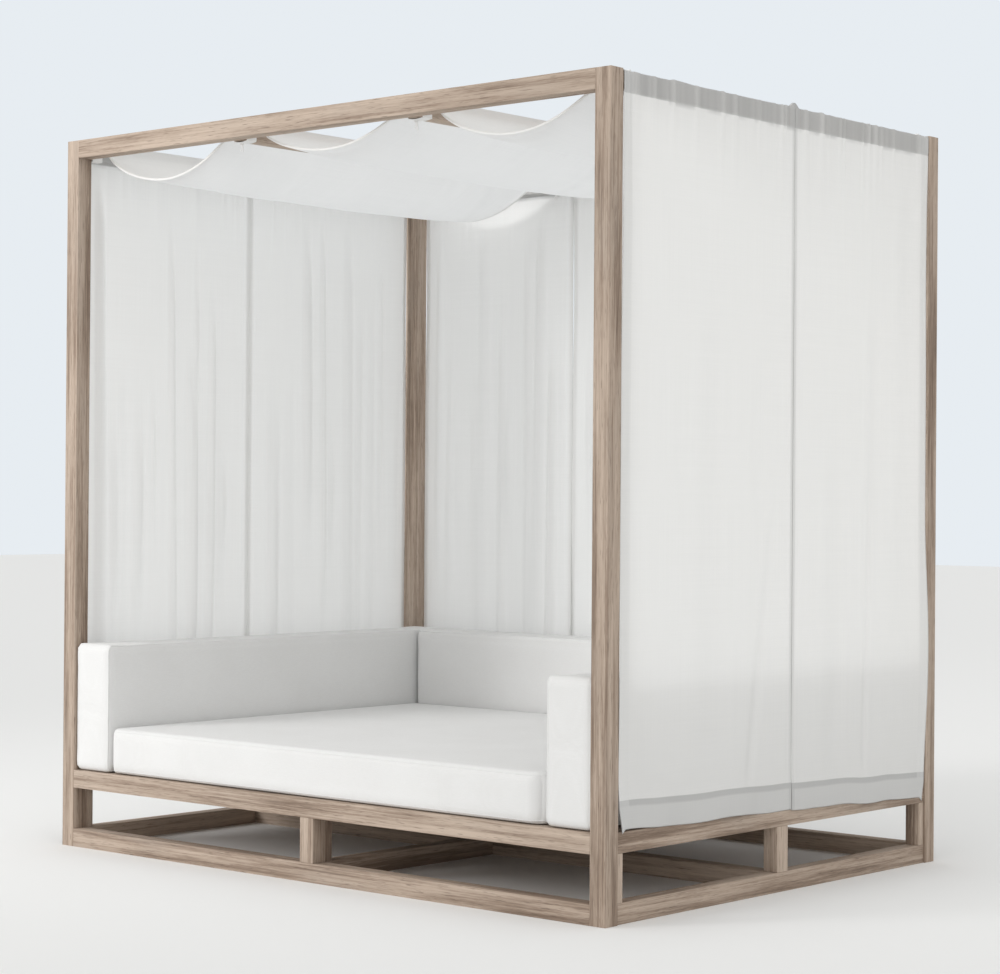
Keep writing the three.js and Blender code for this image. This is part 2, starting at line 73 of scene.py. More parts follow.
# %% Camera
camera_data = bpy.data.cameras.new("camera")
camera_data.lens = 87.97
camera_data.sensor_width = 36
camera = bpy.data.objects.new("camera", camera_data)
bpy.context.scene.collection.objects.link(camera)
CAMERA_PLACE = (4.8057, -5.4975, 1.0582)
TURN, PITCH, ROLL = 41.0275, 0.26677, 0.41691
turned = Matrix.Rotation(math.radians(TURN), 4, "Z")
tipped = Matrix.Rotation(math.radians(90 + PITCH), 4, "X")
rolled = Matrix.Rotation(math.radians(ROLL), 4, "Z")
camera.matrix_world = Matrix.Translation(CAMERA_PLACE) @ turned @ tipped @ rolled
bpy.context.scene.camera = camera

# %% [markdown]
# ## Shader maths as expressions
# A material is a graph of nodes. Wiring each one by hand hides the idea, so this class wraps a
# socket and lets plain Python arithmetic add the Math nodes. Every other node comes from one
# method, which sets the node's own settings first and then fills or links its sockets.

# %% A socket that can be used in an expression
class Shade:
    def __init__(self, tree, socket=None):
        self.tree = tree
        self.socket = socket

    def node(self, kind, settings=None, sockets=None, out=0):
        made = self.tree.nodes.new(kind)
        for name, value in (settings or {}).items():
            if name == "stops":
                ramp = made.color_ramp
                for i, (place, colour) in enumerate(value):
                    stop = ramp.elements[i] if i < 2 else ramp.elements.new(place)
                    stop.position = place
                    stop.color = (*colour, 1)
            else:
                setattr(made, name, value)
        for name, value in (sockets or {}).items():
            if isinstance(value, Shade):
                self.tree.links.new(value.socket, made.inputs[name])
            else:
                made.inputs[name].default_value = value
        return Shade(self.tree, made.outputs[out])

    def feed(self, entry):
        """Links this socket to an input of a node that is already there."""
        self.tree.links.new(self.socket, entry)

    def parts(self):
        """Every output of this socket's node, such as the three of Separate XYZ."""
        return [Shade(self.tree, out) for out in self.socket.node.outputs]

    def math(self, operation, first, second=0.0):
        return self.node("ShaderNodeMath", {"operation": operation}, {0: first, 1: second})

    def __add__(self, other):
        return self.math("ADD", self, other)

    def __radd__(self, other):
        return self.math("ADD", other, self)

    def __sub__(self, other):
        return self.math("SUBTRACT", self, other)

    def __rsub__(self, other):
        return self.math("SUBTRACT", other, self)

    def __mul__(self, other):
        return self.math("MULTIPLY", self, other)

    def __rmul__(self, other):
        return self.math("MULTIPLY", other, self)

    def between(self, low, high):
        """0 below low, 1 above high, and smooth from one to the other."""
        return self.node(
            "ShaderNodeMapRange",
            {"interpolation_type": "SMOOTHSTEP"},
            {"Value": self, "From Min": low, "From Max": high},
        )

    def scaled(self, x, y, z):
        """A vector with each part made larger or smaller."""
        settings = {"operation": "MULTIPLY"}
        return self.node("ShaderNodeVectorMath", settings, {0: self, 1: (x, y, z)})

    def mix(self, first, second):
        """A colour from first, where this is 0, to second, where it is 1."""
        colours = [c if isinstance(c, Shade) else (*c, 1) for c in (first, second)]
        settings = {"data_type": "RGBA"}
        return self.node("ShaderNodeMix", settings, {0: self, 6: colours[0], 7: colours[1]}, 2)


def new_material(name):
    """A material, a Shade that adds nodes to it, its Principled node and its output node."""
    material = bpy.data.materials.new(name)
    material.use_nodes = True
    tree = material.node_tree
    return material, Shade(tree), tree.nodes["Principled BSDF"], tree.nodes["Material Output"]


def noise_at(at, detail=2.0, roughness=0.5):
    """Noise of one cell to a unit of the vector at. It stays about 0.5."""
    sockets = {"Vector": at, "Scale": 1.0, "Detail": detail, "Roughness": roughness}
    return at.node("ShaderNodeTexNoise", {}, sockets)

# %% [markdown]
# ## Floor and light
# The floor is a plain pale plane. An even white world fills the shade, so that a white cloth shows
# nearly as white as its colour says. What the camera sees behind the object is set apart from the
# light that the world gives, through Light Path.

# %% Floor and room
bpy.ops.mesh.primitive_plane_add(size=60, location=(0, 0, 0))
floor = bpy.context.object
floor.name = "floor"
floor_material, _, shader, _ = new_material("pale_floor")
shader.inputs["Base Color"].default_value = (0.89, 0.89, 0.885, 1)
shader.inputs["Roughness"].default_value = 0.9
floor.data.materials.append(floor_material)

world = bpy.data.worlds.new("studio")
world.use_nodes = True
bpy.context.scene.world = world
room = Shade(world.node_tree)
background = world.node_tree.nodes["Background"]
seen = room.node("ShaderNodeLightPath", out="Is Camera Ray")
glossy = room.node("ShaderNodeLightPath", out="Is Glossy Ray")
through = room.node("ShaderNodeLightPath", out="Is Transmission Ray")
shown = room.math("MINIMUM", seen + glossy + through, 1.0)
ROOM_LIGHT, SEEN_BEHIND = (0.68, 0.68, 0.67), (0.80, 0.845, 0.885)
shown.mix(ROOM_LIGHT, SEEN_BEHIND).feed(background.inputs["Color"])

# %% [markdown]
# A large soft spot at the front left models the timber. It is aimed at the left post and its whole
# cone is blended, so its light falls off along the front towards the right post, as in the
# photograph, which a sun can't do. A very soft sun from the front right reaches in under the canopy.

# %% Two lights
def add_light(kind, name, place, aim, energy):
    bpy.ops.object.light_add(type=kind, location=place)
    light = bpy.context.object
    light.name = name
    light.data.energy = energy
    light.rotation_euler = (light.location - Vector(aim)).to_track_quat("Z", "Y").to_euler()
    return light


key_light = add_light("SPOT", "key_light", (-4.6, -8.0, 3.6), (-1.7, -0.8, 1.7), 1520)
key_light.data.spot_size = math.radians(48)
key_light.data.spot_blend = 1.0
key_light.data.shadow_soft_size = 1.6
key_light.visible_camera = False
fill_light = add_light("SUN", "fill_light", (1.9, -3.1, 3.5), (0, 0, 0), 0.85)
fill_light.data.angle = math.radians(100)
bpy.context.scene.view_settings.view_transform = "Standard"

# %% [markdown]
# ## Weathered teak
# The timber is teak that has greyed outdoors: a pale brown, fine straight grain, darker streaks and
# short open pores. Grain runs along a member and is tight across it, so a pattern in plain object
# space would be wrong for most of them. Each member therefore carries an attribute named grain:
# the distance along it, and the two distances across it. One material then serves every member.
# Noise that is stretched along the first of the three gives drifts of tone, streaks, fibres, pores
# and silvered patches.

# %% Weathered teak
def weathered_teak():
    material, tree, shader, _ = new_material("weathered_teak")
    grain = tree.node("ShaderNodeAttribute", {"attribute_name": "grain"}, out="Vector")
    drift = noise_at(grain.scaled(1.1, 6, 6), 2)
    broad = noise_at(grain.scaled(1.6, 48, 48), 3, 0.55)
    streak = noise_at(grain.scaled(4.5, 210, 210), 3, 0.6)
    fibre = noise_at(grain.scaled(28, 900, 900), 2, 0.6)
    pore = noise_at(grain.scaled(22, 520, 520), 1).between(0.63, 0.72)
    tone = 0.45 * broad + 0.35 * streak + 0.2 * fibre + 0.35 * (drift - 0.5)
    bands = tree.node(
        "ShaderNodeValToRGB",
        {
            "stops": [
                (0.36, (0.205, 0.147, 0.109)),
                (0.62, (0.550, 0.446, 0.362)),
                (0.44, (0.315, 0.237, 0.182)),
                (0.50, (0.425, 0.334, 0.266)),
            ]
        },
        {"Fac": tone},
    )
    silver = noise_at(grain.scaled(2.2, 14, 14), 3).between(0.5, 0.75) * 0.35
    greyed = silver.mix(bands, (0.43, 0.365, 0.310))
    colour = (pore * 0.55).mix(greyed, (0.12, 0.085, 0.062))
    height = 0.6 * streak + 0.4 * fibre - 0.5 * pore
    relief = tree.node("ShaderNodeBump", {}, {"Strength": 0.35, "Distance": 0.0012, "Height": height})
    colour.feed(shader.inputs["Base Color"])
    (0.66 + 0.22 * broad).feed(shader.inputs["Roughness"])
    relief.feed(shader.inputs["Normal"])
    shader.inputs["Specular IOR Level"].default_value = 0.3
    return material


teak = weathered_teak()

# %% [markdown]
# ## Timber members
# The CAD members have the right sections, tenons and places, but knife-sharp edges. A craftsman
# eases every edge with a plane, and light catches there. Each member is copied, its loose triangles
# are merged, flat faces are dissolved into whole ones, and a one millimetre bevel rounds the edges.
# The bevel is a modifier limited by angle, so it leaves the flat faces alone, and it is applied.

# %% Timber members with eased edges
TIMBER_WORDS = ("post", "beam", "rail", "stile", "bearer", "cleat", "canopy_slat", "deck")
EASED_EDGE = 0.001
slab_pick = random.Random(11)


def select_only(piece):
    bpy.ops.object.select_all(action="DESELECT")
    bpy.context.view_layer.objects.active = piece
    piece.select_set(True)


def apply_modifiers(piece):
    select_only(piece)
    for modifier in list(piece.modifiers):
        bpy.ops.object.modifier_apply(modifier=modifier.name)


def add_grain(piece, low, high):
    """Where each point is along the member and across it, and a stretch of trunk of its own."""
    size = [high[axis] - low[axis] for axis in range(3)]
    along = size.index(max(size))
    others = [axis for axis in range(3) if axis != along]
    shift = [slab_pick.uniform(-5, 5) for _ in range(3)]
    grain = piece.data.attributes.new("grain", "FLOAT_VECTOR", "POINT")
    for i, vertex in enumerate(piece.data.vertices):
        place = [vertex.co[along], vertex.co[others[0]], vertex.co[others[1]]]
        grain.data[i].vector = [p + s for p, s in zip(place, shift)]


def ease_member(node):
    copy = bpy.data.objects.new(f"{node}_eased", frame["nodes"][node].data.copy())
    bpy.context.scene.collection.objects.link(copy)
    copy.data.materials.clear()
    copy.data.materials.append(teak)
    select_only(copy)
    bpy.ops.object.mode_set(mode="EDIT")
    bpy.ops.mesh.select_all(action="SELECT")
    bpy.ops.mesh.remove_doubles(threshold=0.00002)
    bpy.ops.mesh.dissolve_limited(angle_limit=math.radians(1))
    bpy.ops.object.mode_set(mode="OBJECT")
    bevel = copy.modifiers.new("eased", "BEVEL")
    bevel.width = EASED_EDGE
    bevel.segments = 2
    bevel.limit_method = "ANGLE"
    bevel.angle_limit = math.radians(40)
    apply_modifiers(copy)
    bpy.ops.object.shade_smooth_by_angle(angle=math.radians(35))
    add_grain(copy, *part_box(node))
    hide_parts(node)
    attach(copy, "frame")
    return copy


timber = {}
for node in sorted(frame["nodes"]):
    if node.endswith(TIMBER_WORDS):
        timber[node] = ease_member(node)
print("timber members:", len(timber))

# %% [markdown]
# ## Off-white canvas
# The cushions wear a plain-woven outdoor canvas: a matt, warm white with the fine grid of its
# threads and a few thicker ones. Two crossed sine waves make the weave. The covers have no map of
# their own, so the waves are crossed on each pair of axes and one pair lies in every face.

# %% Cushion canvas
CANVAS_THREADS = 0.0021


def cushion_canvas():
    material, tree, shader, _ = new_material("cushion_canvas")
    place = tree.node("ShaderNodeTexCoord", out="Object")
    apart = tree.node("ShaderNodeSeparateXYZ", {}, {0: place})
    waves = [tree.math("SINE", along * (2 * math.pi / CANVAS_THREADS)) for along in apart.parts()]
    weave = waves[0] * waves[1] + waves[1] * waves[2] + waves[2] * waves[0]
    slub = noise_at(place.scaled(70, 900, 900), 2) + noise_at(place.scaled(900, 70, 500), 2)
    cloud = noise_at(place.scaled(5, 5, 5), 3)
    soft = noise_at(place.scaled(16, 16, 16), 3)
    worn = (0.5 * slub + 0.6 * cloud).between(0.55, 1.05)
    colour = worn.mix((0.742, 0.739, 0.732), (0.785, 0.784, 0.779))
    shaded = (weave.between(0.2, -1.2) * 0.25).mix(colour, (0.62, 0.61, 0.59))
    height = weave * 0.3 + slub * 0.5
    fine = tree.node("ShaderNodeBump", {}, {"Strength": 0.25, "Distance": 0.0006, "Height": height})
    sockets = {"Strength": 0.35, "Distance": 0.004, "Height": soft, "Normal": fine}
    shaded.feed(shader.inputs["Base Color"])
    (0.84 + 0.12 * cloud).feed(shader.inputs["Roughness"])
    tree.node("ShaderNodeBump", {}, sockets).feed(shader.inputs["Normal"])
    shader.inputs["Sheen Weight"].default_value = 0.15
    shader.inputs["Specular IOR Level"].default_value = 0.2
    return material


canvas = cushion_canvas()

# %% [markdown]
# ## Stuffed cushions
# A cushion is cut flat and stuffed, so its faces crown, its edges round and its sides draw in
# between the corners. Modelled by hand it looks like a bar of soap. Here a box with rounded edges,
# a little smaller than the cushion, is remeshed into even cells and blown up as cloth for a few
# frames. A cap on how far a point may move keeps it in its place, and near the sides of the
# cushion's own box a point comes to rest against the neighbour or the seat that is there. The
# mattress has one upright corner that is worn round, at the front right.

# %% The cushions' sizes
SWELL = 0.0015
CUSHIONS = {
    "mattress": {"rounding": 0.017, "voxel": 0.0125, "cap": 0.009, "proud": (0.004, 0.007)},
    "left_bolster": {"rounding": 0.009, "voxel": 0.009, "cap": 0.007, "proud": (0.006, 0.002)},
    "right_bolster": {"rounding": 0.009, "voxel": 0.009, "cap": 0.007, "proud": (0.006, 0.002)},
    "back_bolster": {"rounding": 0.009, "voxel": 0.009, "cap": 0.007, "proud": (0.0, 0.002)},
}
WORN_CORNER = 0.055

# %% [markdown]
# The start is a box whose edges are bevelled. A voxel remesh turns it into even square cells, which
# cloth needs, and a light smoothing takes the steps out of the bevel.

# %% A rounded box
def points_of(mesh):
    flat = np.zeros(len(mesh.vertices) * 3)
    mesh.vertices.foreach_get("co", flat)
    return flat.reshape(-1, 3)


def rounded_box(name, low, high, rounding, voxel):
    bpy.ops.object.select_all(action="DESELECT")
    bpy.ops.mesh.primitive_cube_add(size=1, location=(low + high) / 2)
    piece = bpy.context.object
    piece.name = name
    piece.scale = high - low
    bpy.ops.object.transform_apply(location=True, rotation=False, scale=True)
    bpy.ops.object.mode_set(mode="EDIT")
    bpy.ops.mesh.select_all(action="SELECT")
    bpy.ops.mesh.bevel(offset=rounding, segments=5, affect="EDGES")
    bpy.ops.object.mode_set(mode="OBJECT")
    remesh = piece.modifiers.new("even_cells", "REMESH")
    remesh.mode = "VOXEL"
    remesh.voxel_size = voxel
    apply_modifiers(piece)
    bpy.ops.object.mode_set(mode="EDIT")
    bpy.ops.mesh.select_all(action="SELECT")
    bpy.ops.mesh.vertices_smooth(factor=0.5, repeat=2)
    bpy.ops.object.mode_set(mode="OBJECT")
    return piece


def soften_corner(piece, corner, radius):
    """Turns the square corner of a cushion, seen from above, into a round one."""
    places = points_of(piece.data)
    toward = np.sign(corner)
    apart = (places[:, :2] - (np.array(corner) - toward * radius)) * toward
    square = np.maximum(apart[:, 0], apart[:, 1])
    near = (apart > 0).all(axis=1)
    share = square / np.maximum(np.linalg.norm(apart, axis=1), 1e-9)
    moved = places[:, :2] + (share - 1)[:, None] * apart * toward
    places[:, :2] = np.where(near[:, None], moved, places[:, :2])
    piece.data.vertices.foreach_set("co", places.ravel())
    piece.data.update()

# %% [markdown]
# Gravity is off, because the seat carries the cushion evenly, and pressure alone swells it. Cloth
# that swells also pulls in hard at its edges, so only a small share of each move inwards is kept.

# %% Blowing a cover up
PRESSURE = 4.0
SOFT_MARGIN = 0.003
DRAWN_IN = 0.15


def held_below(places, limit):
    """Places, eased over the last few millimetres so that they never pass the limit."""
    over = np.maximum(places - (limit - SOFT_MARGIN), 0)
    return np.where(over > 0, limit - SOFT_MARGIN * np.exp(-over / SOFT_MARGIN), places)


def stuff(piece, cap, low, high):
    """Blows the cover up as cloth, and keeps each point near its start and inside the box."""
    start = points_of(piece.data)
    settings = piece.modifiers.new("stuffing", "CLOTH").settings
    settings.quality = 4
    settings.use_pressure = True
    settings.uniform_pressure_force = PRESSURE
    settings.effector_weights.gravity = 0
    for step in range(1, 21):
        bpy.context.scene.frame_set(step)
    settled = piece.evaluated_get(bpy.context.evaluated_depsgraph_get()).to_mesh()
    moved = points_of(settled) - start
    piece.modifiers.remove(piece.modifiers["stuffing"])
    bpy.context.scene.frame_set(1)
    out = np.zeros(len(start) * 3)
    piece.data.vertices.foreach_get("normal", out)
    out = out.reshape(-1, 3)
    inwards = np.minimum((moved * out).sum(axis=1, keepdims=True), 0)
    moved -= (1 - DRAWN_IN) * inwards * out
    far = np.linalg.norm(moved, axis=1, keepdims=True)
    end = start + moved * cap * np.tanh(far / cap) / np.maximum(far, 1e-9)
    end = held_below(end, np.array(high))
    end = -held_below(-end, -np.array(low))
    piece.data.vertices.foreach_set("co", end.ravel())
    piece.data.update()

# %% [markdown]
# A cover may stand a few millimetres proud of its solid at the front and on top, where nothing is
# near. One level of subdivision comes last, and then the cover takes the place of its solid.

# %% The four cushions
cushions = {}
for node, how in CUSHIONS.items():
    low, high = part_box(node)
    forward, crown = how["proud"]
    low, high = low - Vector((0, forward, 0)), high + Vector((0, 0, crown))
    inset = Vector((SWELL, SWELL, SWELL))
    piece = rounded_box(f"{node}_cover", low + inset, high - inset, how["rounding"], how["voxel"])
    if node == "mattress":
        soften_corner(piece, (high.x - SWELL, low.y + SWELL), WORN_CORNER)
    stuff(piece, how["cap"], low, high)
    finish = piece.modifiers.new("smooth", "SUBSURF")
    finish.levels = finish.render_levels = 1
    apply_modifiers(piece)
    bpy.ops.object.shade_smooth()
    piece.data.materials.append(canvas)
    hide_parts(node)
    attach(piece, node)
    cushions[node] = piece
    print(node, "faces:", len(piece.data.polygons))

# %% [markdown]
# ## Welts
# Where two panels of a cover meet, the maker folds the edges into a narrow welt. A seam narrower
# than a cell can't come through the remesh, so it is added now: rays from inside a cushion find the
# line where the seam's plane cuts the cover, and a curve with a round section follows it.

# %% A tube along a line of points
def tube_along(name, points, radius, closed=False):
    curve = bpy.data.curves.new(name, "CURVE")
    curve.dimensions = "3D"
    curve.bevel_depth = radius
    curve.bevel_resolution = 2
    curve.use_fill_caps = not closed
    spline = curve.splines.new("POLY")
    spline.points.add(len(points) - 1)
    for point, place in zip(spline.points, points):
        point.co = (*place, 1)
    spline.use_cyclic_u = closed
    tube = bpy.data.objects.new(name, curve)
    bpy.context.scene.collection.objects.link(tube)
    select_only(tube)
    bpy.ops.object.convert(target="MESH")
    bpy.ops.object.shade_smooth()
    return tube


def dress(piece, material, body):
    piece.data.materials.clear()
    piece.data.materials.append(material)
    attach(piece, body)

# %% [markdown]
# Rays start on a rectangle inside the cushion and leave it square to its sides, with a fan of them
# at each corner. The mattress has a welt at the foot and at the top, the bolsters at both faces.

# %% Welts round the cushion panels
WELT_INSET = 0.07
RAY_SPACING = 0.02
WELTS = {
    "mattress": (2, [0.011, 0.126], 0.0012),
    "left_bolster": (0, [0.006, 0.1435], 0.0024),
    "right_bolster": (0, [0.006, 0.1435], 0.0024),
    "back_bolster": (1, [0.006, 0.1535], 0.0024),
}


def rays_round(low, high, axis):
    """Starts and directions from an inner rectangle to the cover, square to its sides."""
    a, b = [other for other in range(3) if other != axis]
    inner = [min(low[i] + WELT_INSET, (low[i] + high[i]) / 2 - 1e-4) for i in range(3)]
    outer = [max(high[i] - WELT_INSET, (low[i] + high[i]) / 2 + 1e-4) for i in range(3)]
    corners = [(inner[a], inner[b]), (outer[a], inner[b])]
    corners += [(outer[a], outer[b]), (inner[a], outer[b])]
    rays = []
    for turn in range(4):
        start, end = corners[turn], corners[(turn + 1) % 4]
        facing = math.pi * (turn - 1) / 2
        length = math.dist(start, end)
        steps = max(2, round(length / RAY_SPACING))
        for i in range(steps + 1):
            part = i / steps
            at = [start[k] + part * (end[k] - start[k]) for k in range(2)]
            rays.append((at, facing))
        rays += [(end, facing + math.pi / 2 * i / 9) for i in range(1, 9)]
    return a, b, rays


def add_welt(node, axis, depth, number, radius):
    cover = cushions[node]
    low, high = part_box(node)
    surface = BVHTree.FromObject(cover, bpy.context.evaluated_depsgraph_get())
    a, b, rays = rays_round(low, high, axis)
    line = []
    for (first, second), facing in rays:
        origin, direction = Vector(), Vector()
        origin[axis] = low[axis] + depth
        origin[a], origin[b] = first, second
        direction[a], direction[b] = math.cos(facing), math.sin(facing)
        hit = surface.ray_cast(origin, direction)[0]
        if hit and (not line or (hit - line[-1]).length > 0.004):
            line.append(hit)
    welt = tube_along(f"{node}_welt_{number}", line, radius, closed=True)
    dress(welt, canvas, node)
    return len(line)


for node, (axis, depths, radius) in WELTS.items():
    counts = [add_welt(node, axis, depth, i + 1, radius) for i, depth in enumerate(depths)]
    print(node, "welt points:", counts)

# %% [markdown]
# ## Sheer cloth
# The curtains and the sun sheet are a thin white cloth. Part of the light that falls on it comes
# back and part goes through, so a matt Principled shader is mixed with a Translucent one.
# The cloth has an attribute named cloth: the distance along the beam, the distance down the cloth,
# so that the threads keep to the folds, and how much painted shade it carries there. The third
# number paints shade into the colour where the hem is doubled, where the cloth lies on a beam and
# in the folds, and paints the ridges of the puckers on the beam lighter.

# %% Sheer cloth
SHEER_THREADS = 0.0018


def sheer_cloth(name, colour, let_through):
    material, tree, shader, output = new_material(name)
    place = tree.node("ShaderNodeAttribute", {"attribute_name": "cloth"}, out="Vector")
    apart = tree.node("ShaderNodeSeparateXYZ", {}, {0: place})
    across, down, painted_shade = apart.parts()
    threads = 2 * math.pi / SHEER_THREADS
    weave = tree.math("SINE", across * threads) * tree.math("SINE", down * threads)
    warp = noise_at(place.scaled(420, 2.6, 0), 2)
    weft = noise_at(place.scaled(2.6, 420, 0), 2)
    cloud = noise_at(place.scaled(3, 3, 0), 2)
    slubs = (0.55 * warp + 0.45 * weft).between(0.36, 0.64)
    tint = slubs.mix([0.975 * c for c in colour], colour)
    woven = (weave.between(0.3, -1.0) * 0.3).mix(tint, [0.90 * c for c in colour])
    # Painted shade: where the third number is 1 the cloth is darkened to about half its colour.
    shaded = painted_shade.mix(woven, [0.48 * c for c in colour])
    height = 0.3 * weave + 0.4 * warp + 0.4 * weft
    fine = tree.node("ShaderNodeBump", {}, {"Strength": 0.2, "Distance": 0.0005, "Height": height})
    sockets = {"Strength": 0.25, "Distance": 0.004, "Height": cloud, "Normal": fine}
    soft = tree.node("ShaderNodeBump", {}, sockets)
    shaded.feed(shader.inputs["Base Color"])
    soft.feed(shader.inputs["Normal"])
    shader.inputs["Roughness"].default_value = 0.9
    shader.inputs["Specular IOR Level"].default_value = 0.15
    behind = tree.node("ShaderNodeBsdfTranslucent", {}, {"Color": shaded, "Normal": soft})
    both = tree.node("ShaderNodeMixShader", {}, {0: let_through, 2: behind})
    Shade(tree.tree, shader.outputs[0]).feed(both.socket.node.inputs[1])
    both.feed(output.inputs["Surface"])
    return material


curtain_cloth = sheer_cloth("curtain_cloth", (0.95, 0.947, 0.935), 0.24)
canopy_cloth = sheer_cloth("canopy_cloth", (0.92, 0.915, 0.905), 0.40)
rolled_cloth = sheer_cloth("rolled_canopy_cloth", (0.93, 0.925, 0.915), 0.05)

# %% [markdown]
# ## How a curtain is sewn
# Each curtain is one length of cloth. Its top goes round the beam as a pocket and is stitched just
# below it. Its bottom is turned up in a wide hem, whose raw edge is turned in once more. Seen along
# the beam this is a line of points, so a grid is laid on that line: its rows follow the line, and
# its columns follow the beam. Distances outwards are from the posts' outer faces, which the cloth
# stays inside.

# %% The line that a curtain follows
POST_FACE = {"right": 1.05, "left": 1.05, "back": 0.775}
OUTER, INNER, POCKET_TOP, STITCH = -0.0037, -0.0513, 2.1263, 2.0737
FOLD_TOP = 2.07
HEM_BAND, TURNED_IN = 0.075, 0.017
LEVEL_HEM = 0.219
HEM_LINE = [(-0.722, 0.234), (0.0, LEVEL_HEM), (0.722, 0.193)]
CLOTH_ROWS = 54
# How much shade is painted into the cloth on the beam, in the hem, at the hem's turned-in edge and in
# the side hem.
SHADE_ON_BEAM, SHADE_IN_HEM, SHADE_IN_TURN, SHADE_IN_SIDE_HEM = 0.66, 0.36, 0.62, 0.05


def hem_height(wall, along):
    """The foot of a curtain: level along the back, and falling towards the back on the sides."""
    if wall == "back":
        return LEVEL_HEM
    return float(np.interp(along, *zip(*HEM_LINE)))


def pocket_rows():
    """(outwards, height, way out of the cloth, pucker, painted shade) from under the beam to its
    face.
    """
    rows = [(OUTER - 0.001, STITCH, (0, -1), 0)]
    rows += [(o, STITCH, (0, -1), 0) for o in (-0.012, -0.024, -0.036, -0.047)]
    rows += [(INNER + 0.001, STITCH + 0.001, (-0.7, -0.7), 0)]
    rows += [(INNER, z, (-1, 0), 0.3) for z in (2.079, 2.09, 2.1, 2.11, 2.121)]
    rows += [(INNER + 0.001, POCKET_TOP - 0.001, (-0.7, 0.7), 0)]
    rows += [(o, POCKET_TOP, (0, 1), 0) for o in (-0.047, -0.036, -0.024, -0.012)]
    rows += [(-0.007, POCKET_TOP, (0, 1), 0.3)]
    rows += [(OUTER - 0.0007, POCKET_TOP - 0.0007, (0.7, 0.7), 0.6)]
    rows += [(OUTER, z, (1, 0), 1) for z in (2.123, 2.117, 2.110, 2.102, 2.094, 2.086, 2.080)]
    rows += [(OUTER - 0.0006, STITCH - 0.001, (1, 0), 0.7)]
    return [(*row, SHADE_ON_BEAM) for row in rows]


def hanging_rows(bottom):
    """The cloth below the stitch line, the turn at the bottom, and the hem's inner layer."""
    top, band = STITCH - 0.004, bottom + HEM_BAND
    down = [top + (band - top) * (i / CLOTH_ROWS) ** 1.3 for i in range(CLOTH_ROWS + 1)]
    rows = [(OUTER, z, (1, 0), 0.7, 0) for z in down]
    turn = band - TURNED_IN
    rows += [(OUTER + 0.0003, z, (1, 0), 0, SHADE_IN_TURN) for z in (band - 0.002, turn + 0.003)]
    parts = (0.74, 0.6, 0.4, 0.2, 0.04)
    rows += [(OUTER + 0.0005, bottom + HEM_BAND * part, (1, 0), 0, SHADE_IN_HEM) for part in parts]
    rows += [(OUTER, bottom, (0, -1), 0, SHADE_IN_HEM)]
    parts = (0.04, 0.3, 0.65, 1.0)
    rows += [(OUTER - 0.0009, bottom + HEM_BAND * part, (1, 0), 0, SHADE_IN_HEM) for part in parts]
    return rows

# %% [markdown]
# ## Folds and puckers
# A hanging cloth folds in long vertical waves that are never alike. Each starts somewhere under the
# beam, leans a little, widens on its way down and is gone by the hem, which holds the cloth flat.
# Short sharp puckers stand on the beam and just below it, where the pocket is wider than the beam.
# Both come from seeded random numbers, so the cloth hangs the same way each time.

# %% The seven panels
PANELS = {
    "right_back": {"wall": "right", "draw": 1, "fold": 0.007, "spacing": 0.17, "seed": 3},
    "right_front": {"wall": "right", "draw": -1, "fold": 0.007, "spacing": 0.18, "seed": 8},
    "left_front": {"wall": "left", "draw": -1, "fold": 0.018, "spacing": 0.058, "seed": 5},
    "left_back": {"wall": "left", "draw": 1, "fold": 0.018, "spacing": 0.058, "seed": 13},
    "back_left": {"wall": "back", "draw": -1, "fold": 0.015, "spacing": 0.060, "seed": 21},
    "back_middle": {"wall": "back", "draw": -1, "fold": 0.014, "spacing": 0.066, "seed": 34},
    "back_right": {"wall": "back", "draw": 1, "fold": 0.014, "spacing": 0.066, "seed": 55},
}
# A crease that leans: its place and height at the top, at the bottom, its half width and depth
CREASES = {
    "right_front": [(-0.035, 1.16, -0.165, 0.30, 0.030, 0.9)],
    "right_back": [(0.43, 1.25, 0.40, 0.42, 0.022, 0.6)],
}
TRAVEL = {joint["name"]: joint["range_m"][1] for joint in frame["joints"]}
print("panels:", len(PANELS), "draw:", [TRAVEL[f"{name}_curtain_draw"] for name in PANELS])

# %% [markdown]
# Two small curves shape everything on the cloth: a step that starts and ends softly, and a bump. A
# fold is a bump across the cloth, with a step at its top and one at its foot.

# %% One panel's folds and puckers
def smooth(value, low, high):
    part = min(1.0, max(0.0, (value - low) / (high - low)))
    return part * part * (3 - 2 * part)


def bump(value, half):
    """1 at 0, and 0 from the half width on."""
    return 0.5 + 0.5 * math.cos(math.pi * min(1.0, abs(value) / half))


